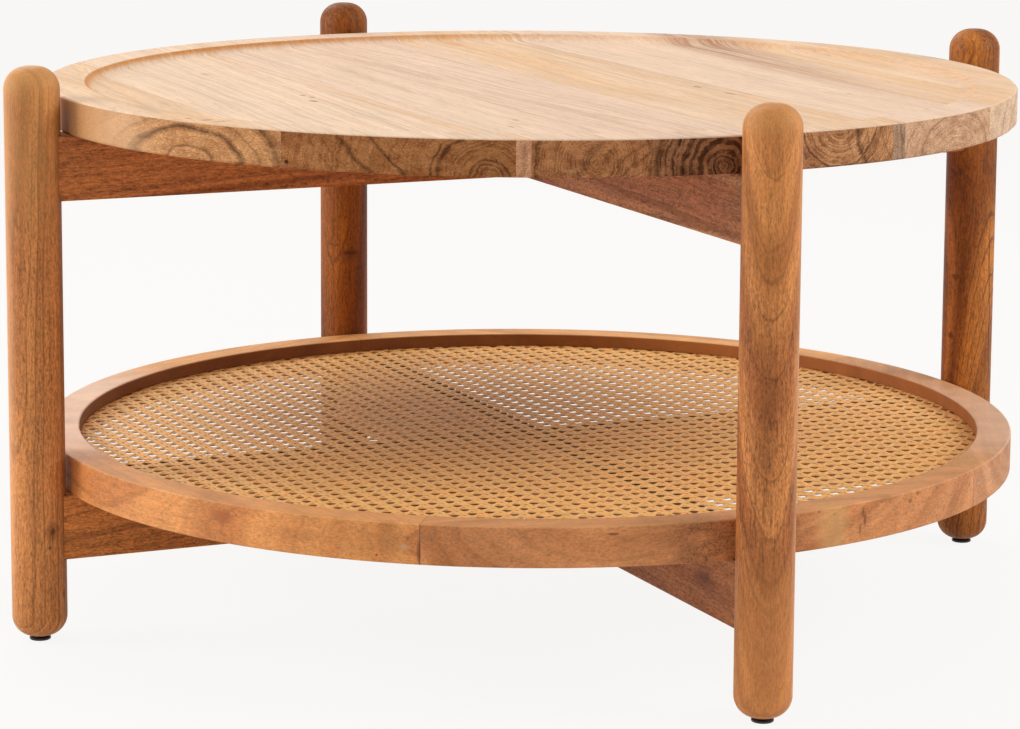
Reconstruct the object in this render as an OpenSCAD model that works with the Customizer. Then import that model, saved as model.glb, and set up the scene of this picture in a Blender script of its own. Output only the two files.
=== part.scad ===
// Round two-tier coffee table: four round posts, two crossed pairs of beams,
// a tray top glued up from boards and a jointed wooden hoop with a cane shelf.
// Origin: on the floor under the middle of the table. +Z is up.
// The beams run along X and Y, and the boards of the top run along Y.

/* [Posts] */
// Height of the post tops above the floor
table_h = 460; // [400:1:560]
// Diameter of a post
post_d = 44; // [40:1:56]
// Radius of the rounded top end of a post
post_top_round = 18; // [8:0.5:19.5]
// Radius of the rounded lower end of a post
post_foot_round = 17; // [6:0.5:18]
// Gap between a post and the edge of the tray
tray_gap = 4.5; // [3:0.5:10]

/* [Tray] */
// Diameter of the tray top
tray_d = 800; // [760:2:860]
// Thickness of the tray's boards
tray_t = 28; // [24:1:36]
// How far the tray's rim lies below the post tops
tray_drop = 26; // [20:1:60]
// Width of the flat rim
rim_w = 33; // [20:1:60]
// Depth of the recessed floor
recess = 6; // [3:0.5:8]
// Radius of the cove between floor and rim
cove_r = 19; // [10:0.5:30]
// Bevel along the tray's outer edges
tray_bevel = 1.5; // [0.5:0.25:3]

/* [Tray boards] */
// Seam 1, from the middle along X
seam_1 = -312; // [-330:1:-300]
// Seam 2
seam_2 = -173; // [-200:1:-170]
// Seam 3
seam_3 = -163; // [-168:1:-150]
// Seam 4
seam_4 = -80; // [-100:1:-50]
// Seam 5
seam_5 = 27; // [15:1:50]
// Seam 6
seam_6 = 127; // [115:1:130]
// Seam 7
seam_7 = 140; // [135:1:160]
// Seam 8
seam_8 = 254; // [230:1:258]

/* [Beams] */
// Height of a beam
beam_h = 52; // [44:1:60]
// Width of a beam
beam_w = 28; // [26:1:32]
// Rounding of a beam's long edges
beam_ease = 2; // [0.5:0.25:4]
// How deep a beam's end is let into its post
seat_depth = 12; // [8:0.5:14]

/* [Shelf hoop] */
// Height of the hoop's top above the floor
shelf_h = 149; // [130:1:200]
// Height of the hoop
hoop_h = 31; // [28:1:40]
// Width of the hoop
hoop_w = 28; // [26:1:36]
// Gap between a post and the hoop
hoop_gap = 2; // [1.5:0.5:8]
// Rounding of the hoop's edges
hoop_ease = 1.5; // [0.5:0.25:3]
// Angle of the first joint in the hoop, from +X
joint_angle = -53.5; // [-60:0.5:-48]

/* [Cane shelf] */
// How far the cane lies below the hoop's top
cane_drop = 11.5; // [9:0.5:14]
// Thickness of the cane webbing
cane_t = 1.5; // [1:0.1:2]
// Width of the step that the cane is laid in
rabbet_w = 10; // [7:0.5:11]
// Pitch of the openings in the cane
mesh_pitch = 62; // [62:1:90]
// Width of an opening
mesh_gap = 30; // [16:1:40]
// Plain border of the cane between the openings and the hoop
mesh_edge = 6; // [3:0.5:12]
// Gap between the cane and the beams that run below it
rail_gap = 0.8; // [0.4:0.1:2]
// Height of the strip that holds the cane up in its step
strip_h = 14; // [8:0.5:14]
// Nails in each hoop segment that hold the strip
strip_nails = 3; // [2:1:5]

/* [Beam bolts] */
// Diameter of a hanger bolt
bolt_d = 6; // [5:0.5:7]
// Depth of the hanger bolt's screw end in the post
bolt_bite = 22; // [16:1:26]
// Distance from a beam's end to its nut pocket
pocket_in = 28; // [26:1:34]
// Length of a nut pocket
pocket_l = 24; // [20:1:30]
// Width of a nut pocket
pocket_w = 16; // [16:0.5:18]
// Width across the flats of a nut
nut_af = 10; // [9:0.5:11]
// Thickness of a nut
nut_t = 5; // [4:0.5:6]
// Diameter of a washer
washer_d = 14; // [12:0.5:15]
// Thickness of a washer
washer_t = 1.5; // [1:0.1:2]
// Length of a bolt that shows past its nut
bolt_tip = 3; // [1:0.5:5]

/* [Wood screws] */
// Diameter of the screws that hold the tray
screw_d = 4.2; // [3.5:0.1:5]
// Diameter of a screw head
screw_head_d = 9; // [8:0.5:10]
// Thickness of a screw head
screw_head_t = 3; // [2:0.25:4]
// Wood left in the beam above a tray screw's head
screw_grip = 22; // [18:1:26]
// Depth of a tray screw in the boards
screw_bite = 14; // [8:0.5:15]
// Distance of the inner tray screws from the middle
screw_in = 110; // [90:1:112]
// Distance of the outer tray screws from the middle
screw_out = 290; // [265:1:292]
// Wood below the head of the screw in a halved joint
lap_grip = 16; // [12:1:18]
// Depth of that screw in the upper beam of the joint
lap_bite = 16; // [10:1:18]

/* [Dowels and pins] */
// Diameter of the dowels across a hoop joint
dowel_d = 6; // [5:0.5:7]
// Length of those dowels
dowel_l = 40; // [30:1:50]
// Height of the lower dowel's centre above the hoop's underside
dowel_rise = 15; // [14.5:0.25:16]
// Height from the lower dowel to the upper one
dowel_step = 9.5; // [8.5:0.25:10]
// Diameter of the dowels between hoop and beams
peg_d = 8; // [6:0.5:9]
// Length of those dowels
peg_l = 20; // [14:1:20]
// Diameter of the locking pins beside a hoop joint
pin_d = 1.8; // [1.4:0.1:2.4]
// Length of a locking pin
pin_l = 12; // [8:0.5:14]
// Distance of a locking pin from its joint
pin_off = 9; // [6:0.5:14]
// Diameter of the nails in the strip
nail_d = 1.6; // [1.2:0.1:2]
// Length of the nails in the strip
nail_l = 18; // [12:0.5:20]
// How far the nails lie below the strip's top
nail_drop = 4.5; // [3:0.25:5]
// How far the nail heads lie inside the strip's inner face
nail_sink = 2; // [0.5:0.25:3]

/* [Levelling feet] */
// Diameter of a foot's pad
pad_d = 17; // [14:0.5:22]
// Diameter of the pad's narrower top
pad_top_d = 14; // [12:0.5:14]
// Thickness of a foot's pad
pad_t = 3.2; // [3:0.1:8]
// Height of the pad's rim, below its sloping shoulder
pad_rim = 1.8; // [1.4:0.1:2.5]
// Rounding of the pad's lower edge
pad_round = 1; // [0.5:0.1:1.3]
// Gap between pad and post when the foot is screwed in
pad_gap = 0.3; // [0.2:0.1:1]
// Diameter of a foot's threaded stem
stem_d = 8; // [6:0.5:8]
// Outer diameter of the threaded insert in a post
insert_d = 12; // [11:0.5:14]
// Length of the threaded insert
insert_l = 12; // [8:0.5:13]
// How far a foot unscrews
foot_travel = 8; // [4:0.5:9]

/* [Clearances] */
// Clearance on each side of a fitted wooden joint
wood_fit = 0.2; // [0.1:0.05:0.4]
// Radial clearance of pins, bolts and dowels in their bores
bore_fit = 0.1; // [0.05:0.01:0.2]
// Extra radius where a bolt or screw only passes through
pass_fit = 0.5; // [0.3:0.05:0.8]
// Clearance above and below the cane
cane_fit = 0.3; // [0.2:0.05:0.5]

/* [Hidden] */
$fn = 96;

// Posts
post_r = post_d / 2;
tray_r = tray_d / 2;
post_c = tray_r + tray_gap + post_r; // post axis from the middle
wood_z = pad_t + pad_gap;            // lowest wood

// Feet. The stem still fills its insert when the foot is unscrewed
insert_z = wood_z + pad_gap;
stem_top = insert_z + insert_l + foot_travel;
stem_seat = pad_t / 3; // where the stem starts in its pad

// Heights
tray_top = table_h - tray_drop;
tray_low = tray_top - tray_t;
tray_floor = tray_top - recess;
upper_z = tray_low - beam_h;
hoop_low = shelf_h - hoop_h;
lower_z = hoop_low - beam_h;

// Tray
cove_run = sqrt(2 * cove_r * recess - recess * recess);
floor_r = tray_r - rim_w - cove_run;
board_edges = [-tray_r - 1, seam_1, seam_2, seam_3, seam_4, seam_5, seam_6, seam_7, seam_8, tray_r + 1];

// Beams
beam_end = post_c - post_r + seat_depth; // from the middle to a beam's end
pocket_h = beam_h / 2 + washer_d / 2 + pass_fit;

// Hoop and cane
hoop_r = post_c - post_r - hoop_gap;
hoop_ri = hoop_r - hoop_w;
rail_end = sqrt(pow(hoop_ri, 2) - pow(beam_w / 2, 2)) - wood_fit; // a lower beam's shoulders, inside the hoop
step_r = hoop_ri + rabbet_w;
cane_top = shelf_h - cane_drop;
step_z = cane_top + cane_fit;
strip_top = cane_top - cane_t - cane_fit;
rail_rise = cane_top - cane_t - rail_gap - hoop_low; // a lower beam's middle above its ends
mesh_r = hoop_ri - mesh_edge;             // the openings stay inside this circle
mesh_last = ceil(mesh_r / mesh_pitch) - 0.5; // steps from the middle to the last row
mesh_places = [
  for (i = [-mesh_last : mesh_last], j = [-mesh_last : mesh_last])
    if (norm([abs(i), abs(j)] * mesh_pitch + [mesh_gap, mesh_gap] / 2) < mesh_r) [i, j] * mesh_pitch
];
segments = 5;
segment_a = 360 / segments;
dowel_c = (step_r + hoop_r) / 2;          // dowel circle, in the full height of the hoop
dowel_low = hoop_low + dowel_rise;
dowel_high = dowel_low + dowel_step;
pin_z = dowel_low + dowel_step / 2;
nail_a = segment_a / (strip_nails + 1);

tan_oak = [0.76, 0.52, 0.32];
SIDES = [270, 0, 90, 180]; // front, right, back, left, as angles from +X

// ---- shapes used more than once ----

// Rectangle from (0, 0) to (w, h) with all four corners rounded
module eased(w, h, r) {
  translate([r, 0]) square([w - 2 * r, h]);
  translate([0, r]) square([w, h - 2 * r]);
  for (x = [r, w - r], y = [r, h - r]) translate([x, y]) circle(r);
}

// Places its children at each beam end: +X points out along the beam
module at_ends() for (a = SIDES) rotate(a) children();

// Bolt line of a beam at height z0: places children on it, at the seat in the post
module at_bolts() for (z0 = [upper_z, lower_z], a = SIDES)
  rotate(a) translate([beam_end, 0, z0 + beam_h / 2]) rotate([0, -90, 0]) children();

// ---- posts and feet ----

// Outline of half a post
module post_outline() {
  top_r = post_top_round;
  low_r = post_foot_round;
  translate([0, wood_z]) square([post_r - low_r, table_h / 2 - wood_z]);
  translate([0, wood_z + low_r]) square([post_r, table_h - top_r - wood_z - low_r]);
  translate([0, table_h / 2]) square([post_r - top_r, table_h / 2]);
  intersection() {
    union() {
      translate([post_r - top_r, table_h - top_r]) circle(top_r);
      translate([post_r - low_r, wood_z + low_r]) circle(low_r);
    }
    translate([0, wood_z]) square([post_r, table_h - wood_z]);
  }
}

module post(a) color(tan_oak) rotate(a) difference() {
  translate([post_c, 0, 0]) rotate_extrude() post_outline();
  for (z0 = [upper_z, lower_z]) {
    // seat for the beam's end
    translate([beam_end - seat_depth - 1, -beam_w / 2 - wood_fit, z0 - wood_fit])
      cube([seat_depth + 1, beam_w + 2 * wood_fit, beam_h + 2 * wood_fit]);
    // hanger bolt
    translate([beam_end - 1, 0, z0 + beam_h / 2]) rotate([0, 90, 0])
      cylinder(h = bolt_bite + 1 + bore_fit, d = bolt_d + 2 * bore_fit);
  }
  // foot: insert, then room for the stem
  translate([post_c, 0, wood_z - 1]) {
    cylinder(h = 1 + insert_z - wood_z + insert_l + bore_fit, d = insert_d + 2 * bore_fit);
    cylinder(h = 1 + stem_top - wood_z + pass_fit, d = stem_d + 2 * pass_fit);
  }
}

module foot_inserts() color("goldenrod") at_ends() translate([post_c, 0, insert_z])
  difference() {
    cylinder(h = insert_l, d = insert_d);
    translate([0, 0, -1]) cylinder(h = insert_l + 2, d = stem_d + 2 * bore_fit);
  }

module foot_pad(a) color([0.07, 0.07, 0.07]) rotate(a) translate([post_c, 0, 0])
  difference() {
    rotate_extrude() {
      square([pad_d / 2 - pad_round, pad_rim]);
      polygon([
        [0, pad_round], [pad_d / 2, pad_round], [pad_d / 2, pad_rim],
        [pad_top_d / 2, pad_t], [0, pad_t]
      ]);
      intersection() {
        translate([pad_d / 2 - pad_round, pad_round]) circle(pad_round);
        square([pad_d / 2, pad_rim]);
      }
    }
    translate([0, 0, stem_seat]) cylinder(h = pad_t, d = stem_d + 2 * bore_fit);
  }

module foot_stem(a) color("silver") rotate(a) translate([post_c, 0, stem_seat])
  cylinder(h = stem_top - stem_seat, d = stem_d);

// ---- beams ----

// Beam along X with its underside at z0. lap is +1 where the notch opens upwards, -1 down.
// rise is how far its middle, between the shoulders, stands above its ends
module beam(z0, lap, rise = 0) difference() {
  translate([-beam_end, -beam_w / 2, z0]) rotate([90, 0, 90])
    linear_extrude(2 * beam_end) eased(beam_w, beam_h + rise, beam_ease);
  if (rise > 0) for (a = [0, 180]) rotate(a)
    translate([rail_end, -beam_w, z0 + beam_h]) cube([beam_end, 2 * beam_w, rise + 1]);
  // halved joint
  translate([-beam_w / 2 - wood_fit, -beam_w, lap > 0 ? z0 + beam_h / 2 : z0 - beam_h / 2 - rise])
    cube([beam_w + 2 * wood_fit, 2 * beam_w, beam_h + rise]);
  for (a = [0, 180]) rotate(a) {
    // bolt bore from the end to the nut pocket, which opens downwards
    translate([beam_end - pocket_in - 1, 0, z0 + beam_h / 2]) rotate([0, 90, 0])
      cylinder(h = pocket_in + 2, d = bolt_d + 2 * pass_fit);
    translate([beam_end - pocket_in - pocket_l, -pocket_w / 2, z0 - 1])
      cube([pocket_l, pocket_w, pocket_h + 1]);
  }
  // screw of the halved joint
  translate([0, 0, z0 - 1]) {
    cylinder(h = beam_h / 2 - lap_grip + 1, d = screw_head_d + 2 * pass_fit);
    cylinder(h = beam_h / 2 + lap_bite + 1 + bore_fit, d = screw_d + 2 * bore_fit);
  }
}

// Counterbored holes for the tray screws, in an upper beam along X
module tray_screw_holes() for (x = [screw_in, screw_out, -screw_in, -screw_out])
  translate([x, 0, upper_z - 1]) {
    cylinder(h = beam_h - screw_grip + 1, d = screw_head_d + 2 * pass_fit);
    cylinder(h = beam_h + 2, d = screw_d + 2 * pass_fit);
  }

// Holes for the dowels between hoop and beams, at both ends of a beam along X
module peg_holes() for (x = [dowel_c, -dowel_c])
  translate([x, 0, hoop_low - peg_l / 2 - bore_fit])
    cylinder(h = peg_l + 2 * bore_fit, d = peg_d + 2 * bore_fit);

module upper_beam_x() color(tan_oak) difference() {
  beam(upper_z, -1);
  tray_screw_holes();
}

module upper_beam_y() color(tan_oak) rotate(90) difference() {
  beam(upper_z, 1);
  tray_screw_holes();
}

module lower_beam_x() color(tan_oak) difference() {
  beam(lower_z, -1, rail_rise);
  peg_holes();
}

module lower_beam_y() color(tan_oak) rotate(90) difference() {
  beam(lower_z, 1, rail_rise);
  peg_holes();
}

// ---- tray ----

// The whole tray as one turned disc, cut to the strip of board n
module tray_board(n) color([0.87, 0.68, 0.46]) difference() {
  intersection() {
    translate([0, 0, tray_low]) rotate_extrude() difference() {
      polygon([
        [0, 0], [tray_r - tray_bevel, 0], [tray_r, tray_bevel],
        [tray_r, tray_t - tray_bevel], [tray_r - tray_bevel, tray_t], [0, tray_t]
      ]);
      translate([-1, tray_t - recess]) square([floor_r + 1, recess + 1]);
      translate([floor_r, tray_t - recess + cove_r]) circle(cove_r);
    }
    translate([board_edges[n - 1], -tray_r - 1, tray_low - 1])
      cube([board_edges[n] - board_edges[n - 1], 2 * tray_r + 2, tray_t + 2]);
  }
  for (a = SIDES, x = [screw_in, screw_out]) rotate(a) translate([x, 0, tray_low - 1])
    cylinder(h = screw_bite + 1 + bore_fit, d = screw_d + 2 * bore_fit);
}

// ---- shelf hoop ----

// Section of the hoop, at its place from the middle
module hoop_section() difference() {
  translate([hoop_ri, hoop_low]) eased(hoop_w, hoop_h, hoop_ease);
  translate([hoop_ri - 1, hoop_low - 1]) square([rabbet_w + 1, step_z - hoop_low + 1]);
}

// Dowels of the joint at angle a. Their holes are the same with fit more all round
module joint_dowels(a, fit = 0) rotate(a) for (z = [dowel_low, dowel_high])
  translate([dowel_c, dowel_l / 2 + fit, z]) rotate([90, 0, 0])
    cylinder(h = dowel_l + 2 * fit, d = dowel_d + 2 * fit);

// Locking pins of the joint at angle a, flush with the hoop. Their holes run out by out
module joint_pins(a, fit = 0, out = 0) for (s = [-1, 1])
  rotate(a + s * asin(pin_off / hoop_r)) translate([hoop_r - pin_l - fit, 0, pin_z])
    rotate([0, 90, 0]) cylinder(h = pin_l + fit + out, d = pin_d + 2 * fit);

// Nails of hoop segment n. Their holes start nearer the middle by mouth
module segment_nails(n, fit = 0, mouth = 0) for (k = [1 : strip_nails])
  rotate(joint_angle + (n - 1) * segment_a + k * nail_a)
    translate([hoop_ri + nail_sink - mouth, 0, strip_top - nail_drop])
      rotate([0, 90, 0]) cylinder(h = nail_l + mouth + fit, d = nail_d + 2 * fit);

module hoop_segment(n) color(tan_oak) difference() {
  start = joint_angle + (n - 1) * segment_a;
  rotate(start) rotate_extrude(angle = segment_a) hoop_section();
  for (a = [start, start + segment_a]) {
    joint_dowels(a, fit = bore_fit);
    joint_pins(a, fit = bore_fit, out = 1);
  }
  segment_nails(n, fit = bore_fit);
  at_ends() translate([dowel_c, 0, hoop_low - 1])
    cylinder(h = peg_l / 2 + 1 + bore_fit, d = peg_d + 2 * bore_fit);
}

module hoop_joint_dowels() color("burlywood")
  for (n = [0 : segments - 1]) joint_dowels(joint_angle + n * segment_a);

module hoop_joint_pins() color("gray")
  for (n = [0 : segments - 1]) joint_pins(joint_angle + n * segment_a);

module hoop_beam_dowels() color("burlywood") at_ends()
  translate([dowel_c, 0, hoop_low - peg_l / 2]) cylinder(h = peg_l, d = peg_d);

// ---- cane shelf ----

// The webbing as one sheet with a plain grid of openings
module cane_panel() color([0.85, 0.66, 0.40])
  translate([0, 0, cane_top - cane_t]) linear_extrude(cane_t) difference() {
    circle(step_r - cane_fit);
    for (place = mesh_places) translate(place) square(mesh_gap, center = true);
  }

module cane_strip() color([0.70, 0.50, 0.30]) difference() {
  translate([0, 0, strip_top - strip_h]) cylinder(h = strip_h, r = step_r - wood_fit);
  translate([0, 0, strip_top - strip_h - 1]) cylinder(h = strip_h + 2, r = hoop_ri + wood_fit);
  // the ends of the bent strip meet with a small gap at the back
  translate([-wood_fit, 0, strip_top - strip_h - 1]) cube([2 * wood_fit, hoop_r, strip_h + 2]);
  for (n = [1 : segments]) segment_nails(n, fit = bore_fit, mouth = nail_sink + 1);
}

module strip_nails() color("gray") for (n = [1 : segments]) segment_nails(n);

// ---- fasteners ----

module hanger_bolts() color("silver") at_bolts() translate([0, 0, -bolt_bite])
  cylinder(h = bolt_bite + pocket_in + washer_t + nut_t + bolt_tip, d = bolt_d);

module bolt_washers() color("silver") at_bolts() translate([0, 0, pocket_in]) difference() {
  cylinder(h = washer_t, d = washer_d);
  translate([0, 0, -1]) cylinder(h = washer_t + 2, d = bolt_d + 2 * bore_fit);
}

module bolt_nuts() color("silver") at_bolts() translate([0, 0, pocket_in + washer_t]) difference() {
  cylinder(h = nut_t, d = nut_af / cos(30), $fn = 6);
  translate([0, 0, -1]) cylinder(h = nut_t + 2, d = bolt_d + 2 * bore_fit);
}

// Wood screw pointing up with the underside of its head at z = 0
module wood_screw(l) {
  translate([0, 0, -screw_head_t]) cylinder(h = screw_head_t, d = screw_head_d);
  cylinder(h = l, d = screw_d);
}

module tray_screws() color("silver") for (a = SIDES, x = [screw_in, screw_out])
  rotate(a) translate([x, 0, tray_low - screw_grip]) wood_screw(screw_grip + screw_bite);

module lap_screws() color("silver") for (z0 = [upper_z, lower_z])
  translate([0, 0, z0 + beam_h / 2 - lap_grip]) wood_screw(lap_grip + lap_bite);

// ---- nodes ----

post(SIDES[0]);  // post_front
post(SIDES[1]);  // post_right
post(SIDES[2]);  // post_back
post(SIDES[3]);  // post_left
upper_beam_x();
upper_beam_y();
lower_beam_x();
lower_beam_y();
tray_board(1);  // tray_board_1
tray_board(2);  // tray_board_2
tray_board(3);  // tray_board_3
tray_board(4);  // tray_board_4
tray_board(5);  // tray_board_5
tray_board(6);  // tray_board_6
tray_board(7);  // tray_board_7
tray_board(8);  // tray_board_8
tray_board(9);  // tray_board_9
hoop_segment(1);  // hoop_segment_1
hoop_segment(2);  // hoop_segment_2
hoop_segment(3);  // hoop_segment_3
hoop_segment(4);  // hoop_segment_4
hoop_segment(5);  // hoop_segment_5
cane_panel();
cane_strip();
strip_nails();
hoop_joint_dowels();
hoop_joint_pins();
hoop_beam_dowels();
hanger_bolts();
bolt_washers();
bolt_nuts();
tray_screws();
lap_screws();
foot_inserts();
foot_pad(SIDES[0]);  // foot_pad_front
foot_pad(SIDES[1]);  // foot_pad_right
foot_pad(SIDES[2]);  // foot_pad_back
foot_pad(SIDES[3]);  // foot_pad_left
foot_stem(SIDES[0]);  // foot_stem_front
foot_stem(SIDES[1]);  // foot_stem_right
foot_stem(SIDES[2]);  // foot_stem_back
foot_stem(SIDES[3]);  // foot_stem_left
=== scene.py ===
"""Finishes, cane weave and stage for the round two-tier coffee table.

Lengths are in metres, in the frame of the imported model: the floor is z = 0, the
table stands over the origin, and its crossed beams run along X and Y.
"""

import math
from typing import NamedTuple

import bpy
import numpy as np
from bpy.props import FloatProperty, FloatVectorProperty, IntProperty, PointerProperty
from mathutils import Matrix, Vector


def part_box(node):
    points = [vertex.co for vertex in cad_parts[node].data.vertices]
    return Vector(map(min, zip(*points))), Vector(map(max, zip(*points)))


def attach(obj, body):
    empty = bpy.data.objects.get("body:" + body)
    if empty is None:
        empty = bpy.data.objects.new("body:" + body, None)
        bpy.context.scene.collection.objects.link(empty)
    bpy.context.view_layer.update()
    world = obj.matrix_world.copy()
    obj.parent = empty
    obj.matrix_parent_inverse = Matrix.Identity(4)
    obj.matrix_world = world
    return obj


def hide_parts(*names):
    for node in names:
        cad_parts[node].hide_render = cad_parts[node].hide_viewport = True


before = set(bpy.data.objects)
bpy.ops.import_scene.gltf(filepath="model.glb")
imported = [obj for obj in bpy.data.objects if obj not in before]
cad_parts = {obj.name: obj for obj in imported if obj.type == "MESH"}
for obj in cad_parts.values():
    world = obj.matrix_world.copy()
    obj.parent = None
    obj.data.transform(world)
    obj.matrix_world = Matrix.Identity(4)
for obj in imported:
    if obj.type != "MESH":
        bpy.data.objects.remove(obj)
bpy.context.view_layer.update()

bl_info = {
    "name": "Cane coffee table",
    "version": (1, 0, 0),
    "blender": (4, 5, 0),
    "location": "View3D > Sidebar > Coffee table",
    "description": "Wood finishes, woven cane, hardware and a plain stage for the table",
    "category": "Object",
}

SIDES = ("front", "right", "back", "left")
TABLE = "table"
MM = 0.001
TURN = 2 * math.pi


# ---------------- colours and values


def srgb(red, green, blue):
    """Linear colour of three display values from 0 to 255."""
    parts = (red / 255, green / 255, blue / 255)
    return tuple(c / 12.92 if c < 0.04045 else ((c + 0.055) / 1.055) ** 2.4 for c in parts)


def tone(name, text, *rgb):
    """A colour property with that default."""
    return FloatVectorProperty(
        name=name, description=text, default=srgb(*rgb), subtype="COLOR", size=3, min=0, max=1)


def length(name, text, value):
    """A length property in metres."""
    return FloatProperty(name=name, description=text, default=value, min=0.0001, max=1,
                         precision=5, unit="LENGTH", subtype="DISTANCE")


def power(name, text, value):
    """A lamp's power in watts."""
    return FloatProperty(name=name, description=text, default=value, min=0, unit="POWER")


# ---------------- shader expressions


def arithmetic(operation, swapped=False):
    """An operator of Field, which adds one Math node with that operation."""
    def apply(self, *other):
        return self.nodes.math(operation, *((*other, self) if swapped else (self, *other)))
    return apply


class Field:
    """A value that varies over a surface. It wraps a socket, and arithmetic adds Math nodes."""

    def __init__(self, nodes, socket):
        self.nodes, self.socket = nodes, socket

    __add__ = __radd__ = arithmetic("ADD")
    __sub__, __rsub__ = arithmetic("SUBTRACT"), arithmetic("SUBTRACT", True)
    __mul__ = __rmul__ = arithmetic("MULTIPLY")
    __truediv__, __rtruediv__ = arithmetic("DIVIDE"), arithmetic("DIVIDE", True)
    __abs__ = arithmetic("ABSOLUTE")


class Nodes:
    """A node tree, and the one method that adds a node to it."""

    def __init__(self, tree):
        self.tree = tree

    def node(self, kind, settings=None, inputs=None, out=0):
        """Adds a node: its settings first, then values or links by socket. Gives one output.

        The setting called stops is a ramp's, as (place, level) in rising order from 0 to 1.
        """
        made = self.tree.nodes.new(kind)
        for name, value in (settings or {}).items():
            if name != "stops":
                setattr(made, name, value)
                continue
            ramp = made.color_ramp.elements
            for place, level in value:
                element = {0: ramp[0], 1: ramp[-1]}.get(place) or ramp.new(place)
                element.color = (level, level, level, 1)
        for socket, value in (inputs or {}).items():
            self.feed(made.inputs[socket], value)
        return Field(self, made.outputs[out]) if len(made.outputs) else None

    def feed(self, socket, value):
        """Links a field to a socket, or sets a plain value on it."""
        if isinstance(value, Field):
            self.tree.links.new(value.socket, socket)
        elif socket.type == "RGBA":
            socket.default_value = (*tuple(value)[:3], 1)
        else:
            socket.default_value = value

    def math(self, operation, *values):
        """One Math node on fields and numbers."""
        return self.node("ShaderNodeMath", {"operation": operation}, dict(enumerate(values)))


class Shader(Nodes):
    """A new material with one Principled surface, and the nodes that feed it."""

    def __init__(self, name, **plain):
        self.material = bpy.data.materials.new(name)
        self.material.use_nodes = True
        super().__init__(self.material.node_tree)
        self.surface = self.tree.nodes["Principled BSDF"].inputs
        for socket, value in plain.items():
            self.surface[socket.replace("_", " ")].default_value = value

    def hypot(self, a, b):
        """Distance of (a, b) from (0, 0)."""
        return self.math("SQRT", a * a + b * b)

    def most(self, a, b):
        """The larger of two values."""
        return self.math("MAXIMUM", a, b)

    def capped(self, value):
        """The value, or 1 where it is more."""
        return self.math("MINIMUM", value, 1)

    def step(self, value, low, high):
        """Smooth step: 0 where value is below low, 1 above high, or the other way round."""
        return self.node("ShaderNodeMapRange", {"interpolation_type": "SMOOTHSTEP"},
                         {"Value": value, "From Min": low, "From Max": high})

    def within(self, value, low, high, soft):
        """1 where value lies from low to high, falling to 0 within soft on both sides."""
        half = (high - low) / 2
        return self.step(abs(value - (low + half)), half + soft, half)

    def crack(self, where, width):
        """1 within width of where is 0, else 0."""
        return self.step(abs(where), width, width * 0.4)

    def blend(self, one, other, share):
        """Colour one turned towards colour other by share."""
        return self.node("ShaderNodeMix", {"data_type": "RGBA"}, {0: share, 6: one, 7: other}, 2)

    def layers(self, colour, *coats):
        """Colour with coats laid on it in order, each as a tone and its share."""
        for dye, share in coats:
            colour = self.blend(colour, dye, share)
        return colour

    def scale(self, colour, factor):
        """Colour made lighter or darker by a factor."""
        return self.node("ShaderNodeVectorMath", {"operation": "SCALE"},
                         {0: colour, "Scale": factor})

    def split(self, vector):
        """The three coordinates of a vector."""
        made = self.node("ShaderNodeSeparateXYZ", None, {0: vector})
        return [Field(self, out) for out in made.socket.node.outputs]

    def place(self):
        """Where a point lies on the table, in metres."""
        return self.split(self.node("ShaderNodeTexCoord", out="Object"))

    def own_map(self):
        """Across and along of a point on a strand, from the piece's own map."""
        return self.split(self.node("ShaderNodeUVMap", {"uv_map": "strand"}))[:2]

    def noise(self, x, y, z, detail=2, rough=0.5):
        """Noise from 0 to 1 that changes about once a unit of each coordinate."""
        point = self.node("ShaderNodeCombineXYZ", None, {0: x, 1: y, 2: z})
        return self.node("ShaderNodeTexNoise", None, {
            "Vector": point, "Scale": 1, "Detail": detail, "Roughness": rough})

    def even(self, place, scale, detail=2, rough=0.5):
        """Noise that changes as much in every direction."""
        return self.noise(*[part * scale for part in place], detail, rough)

    def chance(self, value):
        """A number from 0 to 1 that is unlike its neighbours for each whole value."""
        return self.node("ShaderNodeTexWhiteNoise", {"noise_dimensions": "1D"}, {"W": value})

    def bands(self, value, rows):
        """Level over value: each row, as middle, half width and depth, is a peak above 0."""
        reach = max(middle + half for middle, half, _ in rows)
        stops = [(0, 0)]
        for middle, half, depth in rows:
            stops += [((middle - half) / reach, 0), (middle / reach, depth),
                      ((middle + half) / reach, 0)]
        return self.node("ShaderNodeValToRGB", {"stops": stops}, {"Fac": value / reach})

    def spot(self, place, centre, reach, soft):
        """1 inside an ellipsoid round centre with half axes reach, and 0 well outside.

        Its measure is the root of the sum of squares of each offset over its half axis,
        which is 1 on the ellipsoid, and the edge is soft on both sides of that.
        """
        a, b, c = [(p - m) / r for p, m, r in zip(place, centre, reach)]
        return self.step(self.math("SQRT", a * a + b * b + c * c), 1 + soft, 1 - soft)

    def marked(self, colour, place, marks):
        """Colour with marks laid on it, each as centre and half axes in mm, tone and depth."""
        return self.layers(colour, *[
            (dye, depth * self.spot(place, [c * MM for c in centre], [r * MM for r in reach], 0.45))
            for centre, reach, dye, depth in marks])

    def finish(self, colour, rough, height, strength=0.3, distance=0.0003):
        """Feeds the surface and gives the material."""
        bump = self.node("ShaderNodeBump", None, {
            "Strength": strength, "Distance": distance, "Height": height})
        for name, value in {"Base Color": colour, "Roughness": rough, "Normal": bump}.items():
            self.feed(self.surface[name], value)
        return self.material


# ---------------- wood


class Timber(NamedTuple):
    """How one plank was cut, and its colours.

    heart is where the heart of the tree lies, across and up from the origin; ring is the
    distance between growth rings and lean how far the heart drifts for each metre along.
    wander is how far the rings stray, and lines, pores, mottle and grit how much of each shows.
    """

    pale: tuple
    middle: tuple
    dark: tuple
    heart: tuple
    ring: float = 0.008
    lean: tuple = (0, 0)
    wander: float = 0.006
    lines: float = 0.4
    pores: float = 0.5
    mottle: float = 0.2
    seed: float = 0
    grit: float = 1


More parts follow.
